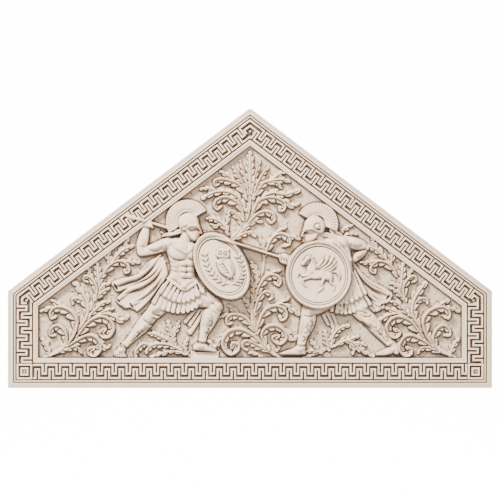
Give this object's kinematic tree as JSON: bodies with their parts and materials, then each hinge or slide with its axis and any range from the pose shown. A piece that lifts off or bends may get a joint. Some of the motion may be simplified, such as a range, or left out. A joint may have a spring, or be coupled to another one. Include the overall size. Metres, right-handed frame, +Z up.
{
  "type": "pediment panel",
  "caption": "Pointed stone pediment panel carved in relief with warriors, shields and acanthus scrolls inside a Greek key border, flat at the back for building in.",
  "frame": {"origin": "centre of the flat back face, at half the panel's height and half its width", "axes": "+X to the viewer's right along the panel, +Y out of the back into the wall, +Z up; the carving faces -Y"},
  "size_m": [2.42, 0.1859, 1.395],
  "materials": {
    "limestone": "honed, cream, darker in the recesses"
  },
  "bodies": {
    "root": {"pediment_panel": "limestone"}
  },
  "joints": []
}
